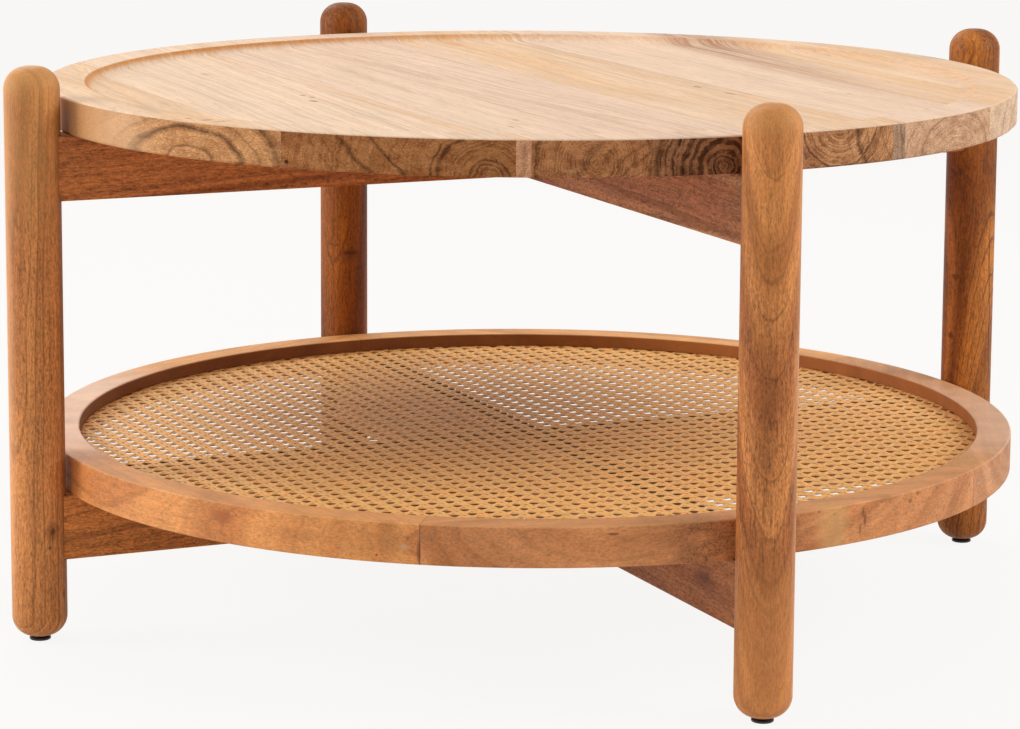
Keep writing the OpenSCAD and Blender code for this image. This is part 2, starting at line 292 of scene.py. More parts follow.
def pores_of(s, along, across, up, seed, share):
    """1 in the short dark pores that lie along the grain, else 0."""
    dash = s.noise(along * 95 + seed, across * 640, up * 640, 1.5)
    return s.step(dash, 0.7 - 0.16 * share, 0.8 - 0.16 * share)


def sawn(s, timber, along, across, up, line):
    """Colour and height of sawn wood.

    Growth rings are tubes round the heart of the tree: distance from a wandering heart line,
    over the ring width, gives turns, and noise of turns alone gives bands of uneven width.
    Its peaks at a finer scale are the thin late rings, and the places where a third noise of
    turns crosses its middle are crisp ring lines. Dashes along the grain are pores, and wide
    soft noise is the mottle that polished wood shows. Grit is a sum of fine noises.
    """
    seed = timber.seed
    bend_a = s.noise(along * 2.2 + seed, across * 9, up * 9) - 0.5
    bend_b = s.noise(along * 2.6, across * 8 + seed + 7.3, up * 8) - 0.5
    ripple = s.noise(along * 14 + seed, across * 75, up * 75) - 0.5
    a = across - timber.heart[0] - along * timber.lean[0] + bend_a * (3 * timber.wander)
    b = up - timber.heart[1] - along * timber.lean[1] + bend_b * (3 * timber.wander)
    turns = (s.hypot(a, b) + ripple * (0.6 * timber.wander)) / timber.ring
    share = s.step(s.noise(turns, seed, along * 0.7), 0.34, 0.68)
    late = s.step(s.noise(turns * 2.9, seed + 4, along * 0.9, 1), 0.58, 0.74)
    crisp = s.step(abs(s.noise(turns * 1.4, seed + 9, along * 0.8, 0) - 0.5), 0.022, 0.008)
    thin = s.noise(along * 9 + seed, across * 230, up * 230, 3, 0.65)
    fibre = s.noise(along * 95, across * 700 + seed, up * 700, 2, 0.7)
    mottle = s.noise(along * 18 + seed, across * 42, up * 42, 3, 0.65)
    speckle = s.noise(along * 420, across * 800, up * 800 + seed, 1)
    dash = s.step(s.noise(along * 210, across * 600 + seed, up * 600, 1), 0.49, 0.59)
    pore = pores_of(s, along, across, up, seed, 0.7)
    colour = s.layers(timber.pale, (timber.middle, share), (timber.dark, late * timber.lines),
                      (timber.dark, crisp * (0.8 * timber.lines) * (0.4 + thin)),
                      (line, pore * (timber.pores * 0.6) * (0.5 + share * 0.5)))
    grit = (fibre - 0.5) + (thin - 0.5) * 1.1 + (speckle - 0.5) - (dash - 0.43) * 0.3
    colour = s.scale(colour, 1 + grit * timber.grit + (mottle - 0.5) * (3 * timber.mottle))
    return colour, fibre * 0.4 - pore - late * 0.3


def on_ring(radius, angle, height):
    """A point in mm on a ring round the origin, at an angle in degrees and a height."""
    turn = math.radians(angle)
    return (radius * math.cos(turn), radius * math.sin(turn), height)


# ---------------- pieces


def dress(node, material):
    """Gives a CAD node its one material."""
    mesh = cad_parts[node].data
    mesh.materials.clear()
    mesh.materials.append(material)


def solid(name, vertices, parts, material, uvs=None, smooth=True):
    """A mesh object at the origin, of numpy rows and arrays of faces, one for each size."""
    mesh = bpy.data.meshes.new(name)
    loops = np.concatenate([part.ravel() for part in parts]).astype(np.int32)
    sides = np.concatenate([np.full(len(part), part.shape[1]) for part in parts])
    mesh.vertices.add(len(vertices))
    mesh.vertices.foreach_set("co", np.asarray(vertices, np.float32).ravel())
    mesh.loops.add(len(loops))
    mesh.loops.foreach_set("vertex_index", loops)
    mesh.polygons.add(len(sides))
    mesh.polygons.foreach_set("loop_start", (np.cumsum(sides) - sides).astype(np.int32))
    if uvs is not None:
        layer = mesh.uv_layers.new(name="strand")
        layer.data.foreach_set("uv", np.asarray(uvs, np.float32)[loops].ravel())
    mesh.update(calc_edges=True)
    mesh.validate()
    mesh.polygons.foreach_set("use_smooth", np.full(len(mesh.polygons), smooth))
    mesh.materials.append(material)
    made = bpy.data.objects.new(name, mesh)
    bpy.context.scene.collection.objects.link(made)
    return made


# ---------------- properties


class CaneSizes(bpy.types.PropertyGroup):
    """Sizes of the woven cane."""

    pitch: length("Pitch", "From one pair of strands to the next", 0.0144)
    strand: length("Strand width", "Width of a straight strand", 0.0037)
    pair: length("Pair offset", "From the middle of a pair to each of its strands", 0.00188)
    slant: length("Diagonal width", "Width of a diagonal strand", 0.0034)
    thick: length("Thickness", "Thickness of a strand", 0.0006)
    rise: length("Diagonal rise", "How far a diagonal swings above and below", 0.0005)
    dip: length("Weave dip", "How far a straight strand swings where pairs cross", 0.0003)
    seed: IntProperty(name="Seed", description="Picks the small unevenness", default=7)


class FootSizes(bpy.types.PropertyGroup):
    """Sizes of the thread on the feet's stems."""

    pitch: length("Thread pitch", "Rise of the thread in one turn", 0.00125)
    depth: length("Thread depth", "Depth of the thread", 0.0006)


class HoopSizes(bpy.types.PropertyGroup):
    """How the hoop is divided, and where its inner wall is."""

    first: FloatProperty(name="First joint", default=math.radians(-53.5), subtype="ANGLE",
                         description="Where the first segment starts")
    count: IntProperty(name="Segments", description="How many segments there are", default=5)
    inner: length("Inner radius", "From the middle to the inner wall", 0.375)


class WoodTones(bpy.types.PropertyGroup):
    """Colours of wood, filler and cane."""

    # laid on the rounded upper edge of the tray, which is paler
    tray_pale: tone("Tray pale", "Worn upper edge of the tray", 240, 213, 186)
    tray_warm: tone("Tray warm", "Warm streaks of the tray", 235, 192, 148)
    tray_line: tone("Tray line", "Ring lines of the tray", 176, 130, 92)
    # the cove tone is partly the cove's own colour and partly painted shade at the back left
    cove: tone("Cove", "Oiled wood in the cove of the tray", 206, 134, 64)
    post: tone("Post", "Main colour of the posts", 204, 132, 73)
    post_streak: tone("Post streak", "Darker streaks of the posts", 156, 90, 45)
    post_dark: tone("Post ring", "Darkest rings of posts, beams and hoop", 104, 54, 24)
    hoop: tone("Hoop", "Main colour of the hoop", 230, 160, 89)
    hoop_streak: tone("Hoop streak", "Darker streaks of the hoop", 191, 120, 57)
    beam: tone("Beam", "Main colour of the beams", 188, 113, 59)
    beam_streak: tone("Beam streak", "Darker streaks of the beams", 148, 82, 39)
    line: tone("Line", "Darkest rings, pores and cracks", 58, 30, 14)
    filler: tone("Filler", "Filler over the pins of the hoop", 158, 116, 76)
    cane: tone("Cane", "Main colour of the cane", 252, 208, 135)
    cane_dark: tone("Cane dark", "Darker strands of the cane", 212, 150, 78)
    # painted shade: the tone laid in the gaps of the cane and on strands where they pass below
    # others
    cane_gap_shade: tone("Cane stain", "Stain in the gaps of the cane", 112, 62, 24)


class StageValues(bpy.types.PropertyGroup):
    """Light and colour of the stage."""

    white: tone("Backdrop", "Colour of floor and backdrop", 252, 251, 249)
    world: FloatProperty(name="World", description="Level of the light from all round",
                         default=0.54, min=0)
    top: power("Top light", "Power of the large lamp overhead", 4)
    left: power("Left light", "Power of the lamp at the left", 44)
    right: power("Right light", "Power of the lamp at the right", 34)
    back: power("Back light", "Power of the lamp behind", 18)
    shadow: FloatProperty(name="Shadow", description="How much of its shadow the floor shows",
                          default=0.07, min=0, max=1, subtype="FACTOR")


# ---------------- tray


class Rings(NamedTuple):
    """Growth rings on the end of a board, in mm.

    heart is their centre across and up, bold the rings that stand out, each as radius, half
    width and depth, from the smallest outwards, and wide how much wider than tall they are.
    """

    heart: tuple
    bold: list
    wide: float = 1


class Board(NamedTuple):
    """One board of the tray: two tones of its face, two of its end, and its rings.

    lean is how far the rings drift across for each metre along the board, fine how strongly
    the thin rings between the bold ones show on the end, and lines how strongly they show
    on the face.
    """

    face: tuple
    end: tuple
    rings: list
    lean: float
    fine: float
    lines: float
    seed: float


def tray_boards(tones):
    """The nine boards from left to right."""
    warm, pink, sand = tones.tray_warm, srgb(237, 205, 179), srgb(239, 208, 179)
    return [
        Board((srgb(241, 208, 174), warm), (srgb(201, 147, 97), srgb(163, 106, 63)), [
            Rings((-357, 405), [(11, 1.6, 0.6), (24.5, 3, 0.95), (33, 1.4, 0.5),
                                (44, 4.5, 0.7)])],
            0.03, 0.3, 0.25, 1.7),
        Board((srgb(241, 209, 177), sand), (srgb(170, 114, 69), srgb(134, 79, 40)), [
            Rings((-190, 406), [(6, 1.1, 0.6), (9, 1.2, 0.8), (12.5, 1.6, 0.8), (22, 1, 0.4),
                                (33, 2.2, 0.9), (37, 1.2, 0.6)]),
            Rings((-180, 480), [(89, 1, 0.4), (95.5, 2, 0.85), (111, 2.4, 0.75),
                                (120, 1, 0.4), (127, 1, 0.4)])],
            0.05, 0.45, 0.3, 12.4),
        Board((pink, warm), (srgb(210, 155, 118), srgb(177, 122, 87)), [
            Rings((-250, 420), [(82, 3, 0.3)])],
            0, 0.25, 0.2, 23.9),
        Board((sand, pink), (srgb(181, 123, 79), srgb(135, 82, 48)), [
            Rings((-120, 417), [(28, 1.2, 0.3), (41, 2.2, 0.9)]),
            Rings((-60, 380), [(34, 1.4, 0.5), (41, 1.2, 0.6), (48, 1.4, 0.6), (56, 1.3, 0.5),
                               (76, 4, 0.5)])],
            0.03, 0.55, 0.28, 31.2),
        Board((pink, srgb(231, 198, 171)), (srgb(160, 108, 72), srgb(103, 61, 36)), [
            Rings((-25, 412), [(5, 1, 0.6), (8.5, 1.3, 0.8), (12.5, 1.5, 0.85), (18, 2.4, 1),
                               (25, 1.5, 0.8), (31, 3, 1), (39.5, 2, 0.85),
                               (45, 1.6, 0.8), (51.5, 3.2, 0.9)])],
            -0.06, 0.9, 0.22, 44.6),
        Board((sand, warm), (srgb(193, 139, 94), srgb(143, 93, 60)), [
            Rings((75, 440), [(22, 1, 0.3), (35, 1.8, 0.8)]),
            Rings((170, 445), [(58, 1.2, 0.4), (72, 1.4, 0.5), (80.5, 3.2, 0.85),
                               (90, 1.2, 0.4)])],
            0.03, 0.6, 0.25, 52.3),
        Board((srgb(235, 207, 181), warm), (srgb(172, 137, 110), srgb(143, 110, 85)), [
            Rings((300, 440), [(165, 1.2, 0.4), (170, 1, 0.5)])],
            0, 0.5, 0.5, 63.8),
        Board((sand, pink), (srgb(202, 161, 127), srgb(166, 119, 87)), [
            Rings((203, 400), [(16, 1, 0.15), (21, 1.2, 0.22), (28, 1.3, 0.25), (35, 1.8, 0.5),
                               (48.5, 1.8, 0.35)], 1.3)],
            -0.03, 0.35, 0.22, 71.5),
        Board((sand, warm), (srgb(215, 182, 152), srgb(183, 147, 117)), [
            Rings((330, 396), [(20, 2, 0.25), (34, 2.4, 0.3), (52, 3, 0.3)])],
            0.02, 0.3, 0.22, 85.1),
    ]


def board_rings(s, board, place, inward):
    """Strength of a board's bold and thin rings.

    The rings are tubes along the board. Their distance from the heart line gives both the
    arcs on the end and the long lines on the face. The heart line is straight at the near
    edge, where inward is 0, and strays further in.
    """
    x, y, z = place
    away = s.step(inward, 0, 0.18)
    sway = (s.noise(y * 2.4 + board.seed, x * 5, z * 5) - 0.5) * away * 0.04
    warp = ((s.noise(x * 75, z * 75, y * 3 + board.seed) - 0.5) * 0.006
            + (s.noise(x * 260, z * 260, y * 9, 2, 0.65) - 0.5) * 0.0032)
    bold, turns = 0, []
    for ring in board.rings:
        a = (x - ring.heart[0] * MM - inward * board.lean + sway) / ring.wide
        b = z - ring.heart[1] * MM + sway * 0.6
        turns.append(s.hypot(a, b) + warp)
        rows = [(middle * MM, half * MM, depth) for middle, half, depth in ring.bold]
        bold = s.most(s.bands(turns[-1], rows), bold)
    arcs = s.noise(turns[0] * 750, board.seed, inward * 1.2, 2, 0.6)
    return bold, s.step(arcs, 0.46, 0.6)


def end_wood(s, board, place, bold, fine, speck, line):
    """Colour of a board's end grain: its rings, broken up, on a mottled and speckled ground."""
    x, y, z = place
    mottle = s.noise(x * 60, z * 90, y * 30 + board.seed, 3, 0.65)
    broken = s.step(s.noise(x * 150, z * 150, y * 20 + board.seed, 2), 0.3, 0.6)
    share = s.capped(fine * broken * board.fine + s.step(mottle, 0.35, 0.7) * 0.7)
    wood = s.layers(board.end[0], (board.end[1], share),
                    (line, bold * (0.42 + broken * 0.35 + mottle * 0.3)))
    return s.scale(wood, (1.06 - fine * broken * (0.3 * board.fine))
                   * (0.76 + s.step(speck, 0.36, 0.64) * 0.5))


def face_wood(s, board, place, bold, fine, broad, fibre, bent, line):
    """Colour of a board's face: long streaks with pores, and the tray's one grey-brown band."""
    x, y, z = place
    thin = s.noise(y * 7 + board.seed, bent * 330, z * 50, 3, 0.7)
    cloud = s.noise(x * 24, y * 9, board.seed, 3, 0.6)
    pore = pores_of(s, y * 0.6, bent, z, board.seed, 0.35)
    rings = s.capped(bold * (0.75 * board.lines) + fine * (0.7 * board.lines))
    # the band lies 264 mm to the right of the middle and leans 60 mm a metre
    band_x = x - 0.264 - y * 0.06 + (s.noise(y * 4, x * 12, 1) - 0.5) * 0.03
    band = s.step(abs(band_x), 0.042, 0.008) * s.step(y, -0.4, 0.3)
    wood = s.layers(board.face[0], (board.face[1], broad), (line, rings), (line, pore * 0.5),
                    (srgb(176, 132, 106), band * (0.25 + s.step(thin, 0.4, 0.6) * 0.75)))
    return s.scale(wood, 1 + (thin - 0.5) * 0.36 + (fibre - 0.5) * 0.36 + (cloud - 0.5) * 0.24)


def board_finish(number, board, tones, low, high, rim):
    """A tray board: pale long grain on top, darker end grain with its rings on the edge."""
    s = Shader(f"tray_board_{number}_wood", Specular_IOR_Level=0.08)
    place = x, y, z = s.place()
    top, bottom = high.z, low.z
    out = s.hypot(x, y)
    inward = y + s.math("SQRT", s.most(rim * rim - x * x, 0))
    bold, fine = board_rings(s, board, place, inward)
    speck = s.noise(x * 800, z * 1100, y * 260, 2, 0.7)
    bent = x + (s.noise(y * 4 + board.seed, x * 12, 0) - 0.5) * 0.014
    broad = s.step(s.noise(y * 2 + board.seed, bent * 34, 0, 3, 0.6), 0.32, 0.68)
    fibre = s.noise(y * 45, bent * 620 + board.seed, z * 300, 2, 0.7)
    wood = face_wood(s, board, place, bold, fine, broad, fibre, bent, tones.tray_line)
    # the cove is a little darker all round, and painted shade makes it darker and warmer at the
    # back left, where its slope takes less light from above
    cove = (s.step(z, top - 0.0055, top - 0.0015) * s.step(z, top, top - 0.0005)
            * s.step(out, rim - 0.002, rim - 0.012))
    turned = s.step((y * 0.72 - x * 0.7) / out, 0.15, 0.95)
    hatch = s.noise(x * 260, y * 90, 0, 2, 0.7)
    cove_tone_and_shade = cove * (0.2 + turned * 0.72) * (0.5 + hatch * 0.9)
    # a board's sides are its seams, but for the outermost two at the rim
    seams = [(tones.tray_line, s.crack(x - seam, 0.0005) * 0.5)
             for seam in (low.x, high.x) if abs(seam) < rim * 0.9]
    wood = s.layers(wood, (tones.cove, cove_tone_and_shade), *seams)
    # the turned edge: end grain at the front and back, plain long grain at the sides
    edge = s.step(out, rim - 0.0014, rim - 0.0003) * s.step(z, top - 0.0004, top - 0.0009)
    under = s.step(out, rim - 0.003, rim - 0.002) * s.step(z, bottom + 0.004, bottom + 0.003)
    edge = s.most(edge, under)
    end = edge * s.step(abs(y) / out, 0.1, 0.4)
    plain = s.scale(s.blend(*board.end, broad), 0.66 + speck * 0.6)
    # the rounded upper edge is paler
    pale_round_over = s.step(out, rim - 0.0017, rim - 0.001) * s.step(z, top - 0.0011, top - 0.0007)
    colour = s.layers(wood, (end_wood(s, board, place, bold, fine, speck, tones.line), end),
                      (plain, edge * (1 - end) * 0.95), (tones.tray_pale, pale_round_over * 0.4))
    colour = s.marked(colour, place, tray_marks(number, tones))
    rough = 0.5 + s.noise(y * 8, x * 60, z * 60) * 0.14
    return s.finish(colour, rough, fibre * 0.5 - fine * 0.3, 0.2)


def tray_marks(number, tones):
    """Knots, dark dashes and the stray drill hole of each board."""
    brown, black, grey = tones.tray_line, tones.line, srgb(170, 160, 156)
    level, tall = 428, 3
    return {
        1: [((-350, -35, 430), (5, 22, 6), grey, 0.45),
            ((-362, -95, 432), (4, 30, 6), grey, 0.35),
            ((-343, -174, 434), (5, 2, 1.5), black, 0.7),
            ((-334, -186, 434), (7, 1.4, 1.5), black, 0.6),
            ((-352, -160, 434), (3, 2, 1.5), black, 0.5)],
        2: [((-202, -3, level), (2.2, 4, tall), brown, 0.8),
            ((-200, -19, level), (1.8, 5, tall), brown, 0.7),
            ((-208, -43, level), (2.6, 7, tall), brown, 0.85),
            ((-225, 170, level), (3, 6, tall), brown, 0.5),
            ((-200, -166, level), (2, 18, tall), grey, 0.3),
            ((-309, -250, 411), (1.3, 12, 1.6), black, 0.95)],
        4: [((-108, -213, level), (2, 5, tall), brown, 0.6),
            ((-128, -250, level), (1.6, 6, tall), brown, 0.6),
            ((-138, -376, 411), (5, 10, 1.2), srgb(206, 164, 120), 0.3),
            ((-92, -388, 415), (3, 8, 2.4), black, 0.5)],
        5: [((30, 12, level), (2.4, 30, tall), brown, 0.45),
            ((12, 200, level), (2, 60, tall), brown, 0.4)],
        6: [((70, 330, 431), (8, 16, 6), srgb(222, 164, 116), 0.7),
            ((123, -63, level), (2, 6, tall), black, 0.55),
            ((126, -116, level), (1.6, 9, tall), black, 0.5)],
        8: [((217, -151, level), (1.5, 5, tall), brown, 0.6)],
    }.get(number, [])


class TABLE_OT_tray(bpy.types.Operator):
    """Finish the nine boards of the tray, each with its own figure."""

    bl_idname = "coffee_table.tray"
    bl_label = "Finish the tray"

    def execute(self, context):
        tones = context.scene.table_wood
        boards = {f"tray_board_{n}": board for n, board in enumerate(tray_boards(tones), 1)}
        rim = max(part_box(node)[1].y for node in boards)
        for number, (node, board) in enumerate(boards.items(), 1):
            dress(node, board_finish(number, board, tones, *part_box(node), rim))
        return {"FINISHED"}


# ---------------- posts and beams


def post_marks(side, tones):
    """Knots, checks, paler and darkened stretches of each post, and painted light and shade down
    the sides of the left and front posts.
    """
    black, brown = tones.line, tones.post_dark
    return {
        "left": [((-421, -21.3, 92), (2, 2, 2.6), black, 0.8),
                 ((-421, -21.3, 92), (6, 5, 8), brown, 0.45),
                 ((-423.8, -21.8, 79), (1.3, 2, 1.6), black, 0.7),
                 ((-411, -15.7, 39), (0.8, 3, 4), black, 0.8),
                 ((-413, -17.3, 378), (1, 3, 7), black, 0.45),
                 ((-411, -16, 395), (2.4, 6, 26), brown, 0.35),
                 ((-430, 0, 420), (40, 40, 90), srgb(214, 154, 90), 0.35),
                 # painted light down the left side of the left post, and painted shade down its
                 # right side
                 ((-452, 12, 230), (13, 20, 320), srgb(232, 172, 122), 0.55),
                 ((-407, -10, 215), (8, 10, 270), brown, 0.42)],
        "front": [((0, -430, 400), (40, 40, 90), srgb(214, 140, 74), 0.3),
                  ((-12, -445, 250), (9, 8, 70), brown, 0.25),
                  # painted light down the right side of the front post
                  ((26, -442, 200), (12, 13, 320), srgb(226, 174, 134), 0.4),
                  ((0, -430, 20), (40, 40, 110), srgb(222, 148, 86), 0.45)],
        "right": [((405.6, -6.8, 190), (2.4, 3, 3), black, 0.7),
                  ((408, -10, 243), (7, 4, 2.4), brown, 0.7),
                  ((412, -16, 251), (6, 4, 2), brown, 0.6)],
        "back": [((-2.5, 404.6, 226.5), (6.5, 3, 1.8), black, 0.85),
                 ((-3, 404.6, 225), (11, 4, 6), brown, 0.5),
                 ((-15, 410.6, 234), (5, 4, 1.6), brown, 0.5),
                 ((-3, 405, 40), (30, 20, 30), brown, 0.2)],
    }[side]


def post_finish(side, timber, tones, top):
    s = Shader(f"post_{side}_wood", Specular_IOR_Level=0.22)
    place = x, y, z = s.place()
    colour, height = sawn(s, timber, z, x, y, tones.line)
    if side in ("left", "front"):
        # the rounded top is end grain, paler and a little olive
        cap = s.step(z, top - 0.034, top - 0.004)
        speckle = s.even(place, 900, 2, 0.7)
        colour = s.blend(colour, srgb(212, 156, 92), cap * (0.05 + speckle * 0.9))
    if side == "right":
        # a long check down the near side, which wanders a little
        wave = (s.noise(z * 26, 3, 0, 2) - 0.5) * 0.006
        check = s.crack(x - 0.4372 + (z - 0.19) * 0.03 + wave, 0.0009)
        check = check * s.within(z, 0.16, 0.268, 0.02) * s.step(y, 0, -0.004)
        colour = s.blend(colour, tones.line, check * 0.85)
    colour = s.marked(colour, place, post_marks(side, tones))
    return s.finish(colour, 0.44 + s.noise(z * 10, x * 70, y * 70) * 0.16, height)


class TABLE_OT_posts(bpy.types.Operator):
    """Finish the four posts. Oiled wood with upright grain."""

    bl_idname = "coffee_table.posts"
    bl_label = "Finish the posts"

    def execute(self, context):
        tones = context.scene.table_wood
        plain = (tones.post, tones.post_streak)
        # heart from the middle of the post, lean, ring, lines, mottle, grit, pale and middle tones
        cuts = {
            "front": ((0.022, 0.048), (0.06, 0.135), 0.0095, 0.6, 0.12, 0.9, plain),
            "right": ((-0.05, 0.02), (0.16, -0.05), 0.01, 0.85, 0.26, 0.9,
                      (srgb(182, 110, 45), srgb(133, 72, 24))),
            "back": ((0.03, 0.04), (0.06, 0.04), 0.011, 0.8, 0.24, 0.9,
                     (srgb(157, 87, 22), srgb(115, 56, 8))),
            "left": ((0.04, 0.022), (0.03, -0.012), 0.0085, 0.5, 0.14, 0.78, plain)}
        for number, side in enumerate(SIDES):
            heart, lean, ring, lines, mottle, grit, dyes = cuts[side]
            low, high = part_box(f"post_{side}")
            heart = ((low.x + high.x) / 2 + heart[0], (low.y + high.y) / 2 + heart[1])
            timber = Timber(*dyes, tones.post_dark, heart, ring, lean, 0.005, lines, 0.8,
                            mottle, 3.7 + 11.3 * number, grit)
            dress(f"post_{side}", post_finish(side, timber, tones, high.z))
        return {"FINISHED"}


class TABLE_OT_beams(bpy.types.Operator):
    """Finish the crossed beams: redder wood with the grain along each beam."""

    bl_idname = "coffee_table.beams"
    bl_label = "Finish the beams"

    def execute(self, context):
        tones = context.scene.table_wood
        dark = tones.post_dark
        # heart across and up from the beam's middle, lean, ring, wander, lines, tones
        cuts = {
            "upper_beam_x": ((0.03, 0.09), (0.03, 0.05), 0.006, 0.004, 0.25,
                             (tones.beam, tones.beam_streak)),
            "upper_beam_y": ((0.03, -0.05), (0.05, 0.08), 0.012, 0.014, 0.6,
                             (srgb(187, 128, 87), srgb(163, 100, 64))),
            "lower_beam_x": ((0.05, 0.1), (0.04, 0.1), 0.011, 0.01, 0.45,
                             (srgb(200, 121, 58), srgb(162, 90, 38))),
            "lower_beam_y": ((0.03, -0.06), (0.05, 0.07), 0.01, 0.01, 0.4,
                             (srgb(198, 128, 80), srgb(168, 100, 58)))}
        marks = {"lower_beam_y": [((-14, -356, 94), (3, 8, 4), tones.line, 0.5),
                                  ((-14, -356, 94), (3, 18, 9), dark, 0.4)]}
        for number, (node, cut) in enumerate(cuts.items()):
            heart, lean, ring, wander, lines, dyes = cut
            low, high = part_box(node)
            s = Shader(f"{node}_wood", Specular_IOR_Level=0.25)
            place = x, y, z = s.place()
            along, across, reach = (x, y, high.x) if node.endswith("x") else (y, x, high.y)
            timber = Timber(*dyes, dark, (heart[0], (low.z + high.z) / 2 + heart[1]), ring, lean,
                            wander, lines, 0.9, 0.16, 17.9 + 9.7 * number)
            colour, height = sawn(s, timber, along, across, z, tones.line)
            end = s.step(abs(along), reach - 0.0006, reach - 0.0001)
            colour = s.marked(s.blend(colour, dark, end * 0.5), place, marks.get(node, []))
            rough = 0.5 + s.noise(along * 8, across * 60, z * 60) * 0.15
            dress(node, s.finish(colour, rough, height))
        return {"FINISHED"}


# ---------------- hoop


def turned(x, y, angle):
    """The coordinates of (x, y) in axes turned by an angle: ahead and aside."""
    c, k = math.cos(angle), math.sin(angle)
    return x * c + y * k, y * c - x * k


def hoop_marks(rim, start, every, tones):
    """Filler, knots and smudges on the outer face of the segment that begins at start.

    A row is angle in degrees, height, half width and half height in mm, tone and depth. A
    mark near a joint counts for the segments on both sides of it.
    """
    black, dark, grey = tones.line, tones.post_dark, tones.filler
    near = 0.05
    rows = [
        (-126.8, 138.8, 3, 0.9, grey, 0.55), (-124.3, 139, 3.4, 0.9, grey, 0.5),
        (-125.6, 140.5, 5, 2, grey, 0.45), (-127.2, 131, 4.5, 2.2, srgb(206, 160, 116), 0.7),
        (-128.8, 136, 9, 12, dark, 0.3), (-132.2, 134, 13, 12, dark, 0.16),
        (-125.6, 128, 1.5, 9, dark, 0.6), (-130.2, 123.6, 1, 0.8, black, 0.8),
        (-105.2, 143.3, 4, 1, dark, 0.75), (-112, 128, 2, 1, dark, 0.4),
        (-148.9, 138.5, 9, 5, srgb(150, 78, 42), 0.55), (-140, 133, 26, 5, dark, 0.14),
        (-79.3, 143.4, 0.8, 1, black, 0.8), (-81.4, 147, 0.8, 0.9, black, 0.8),
        (-75.2, 141, 1.2, 3.5, black, 0.5), (-74.9, 135, 1.4, 4.5, dark, 0.7),
        (-75.6, 128, 1.2, 4, black, 0.45), (-75, 132, 7, 10, dark, 0.22),
        (-67.6, 141.4, 2.2, 1.6, dark, 0.6), (-66.2, 146, 2.4, 1.2, dark, 0.5),
        (-71.6, 147, 8, 2.5, dark, 0.25), (-79.5, 135, 14, 26, srgb(216, 170, 108), 0.45)]
    return [(on_ring(rim / MM, angle, height), (wide, wide, tall), dye, depth)
            for angle, height, wide, tall, dye, depth in rows
            if (math.radians(angle) - start + near) % TURN < every + 2 * near]


def segment_finish(node, timber, start, every, tones, marks, inner, top):
    """A hoop segment that begins at start: straight grain, joints, painted shade on the inner wall,
    paler top with a painted sheen at its ends.
    """
    s = Shader(f"{node}_wood", Specular_IOR_Level=0.28)
    place = x, y, z = s.place()
    across, along = turned(x, y, start + every / 2)
    colour, height = sawn(s, timber, along, across, z, tones.line)
    out = s.hypot(x, y)
    seams = []
    for joint in (start, start + every):
        ahead, aside = turned(x, y, joint)
        seams.append((tones.line, s.crack(aside, 0.0006) * s.step(ahead, 0, 0.05) * 0.65))
    # rough flecked patch beside the front post
    fleck = s.step(s.noise(x * 500, y * 500, z * 620, 2, 0.6), 0.5, 0.62)
    patch = (s.within(x, -0.045, 0.03, 0.03) * s.step(y, -0.3, -0.39)
             * s.step(s.noise(x * 60, z * 60, 0), 0.3, 0.55))
    # painted shade on the inner wall under the tray, lighter towards the right, and a paler top
    # with a painted sheen at its left and right ends
    wall = (s.step(out, inner + 0.0002, inner - 0.0002)
            * s.step(z, top - 0.0002, top - 0.0006))
    wall_shade = s.blend(srgb(104, 50, 2), srgb(168, 102, 46), s.step(x / out, 0.4, 0.95))
    upper = s.step(z, top - 0.0012, top - 0.0003)
    left = upper * s.step((y * 0.41 - x * 0.91) / out, 0.84, 0.97)
    right = upper * s.step((x * 0.91 - y * 0.41) / out, 0.9, 0.99)
    colour = s.layers(colour, *seams, (srgb(140, 84, 50), patch * 0.4),
                      (tones.line, patch * fleck * 0.5), (wall_shade, wall * 0.9),
                      (srgb(244, 192, 128), upper * 0.35),
                      (srgb(244, 216, 196), left * 0.7 + right * 0.4))
    # soft upright bands where the plank was cut across its figure
    flame = s.noise(x * 34, y * 34, z * 5 + 3, 2, 0.6)
    colour = s.marked(s.scale(colour, 1 + (flame - 0.5) * 0.45), place, marks)
    rough = 0.46 + s.noise(along * 8, across * 60, z * 60) * 0.16
    return s.finish(colour, rough, height)


class TABLE_OT_hoop(bpy.types.Operator):
    """Finish the hoop: segments, each sawn from a straight plank, with their joints."""

    bl_idname = "coffee_table.hoop"
    bl_label = "Finish the hoop"

    def execute(self, context):
        tones, sizes = context.scene.table_wood, context.scene.table_hoop
        nodes = [f"hoop_segment_{number + 1}" for number in range(sizes.count)]
        rim = max(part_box(node)[1].x for node in nodes)
        every = TURN / sizes.count
        plain = (tones.hoop, tones.hoop_streak)
        dyes = {0: (srgb(209, 146, 98), srgb(183, 121, 77)),
                3: (srgb(225, 151, 86), srgb(201, 125, 68)),
                4: (srgb(214, 143, 89), srgb(186, 117, 67))}
        for number, node in enumerate(nodes):
            start = sizes.first + every * number
            heart = (0.3, 0.1) if number % 2 else (0.46, 0.2)
            timber = Timber(*dyes.get(number, plain), tones.post_dark, heart, 0.013,
                            (0.1, 0.16), 0.01, 0.16, 0.25, 0.05, 5.1 + 13.7 * number, 0.45)
            marks = hoop_marks(rim, start, every, tones)
            dress(node, segment_finish(node, timber, start, every, tones, marks, sizes.inner,
                                       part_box(node)[1].z))
        return {"FINISHED"}


# ---------------- cane

# how far a straight strand lies off its place and sways, the widths of strands against the
# usual one, and how near the rim a strand may run
UNEVEN, DRIFT, WIDTHS, MARGIN = 0.00024, 0.0002, (0.88, 1.08), 0.004


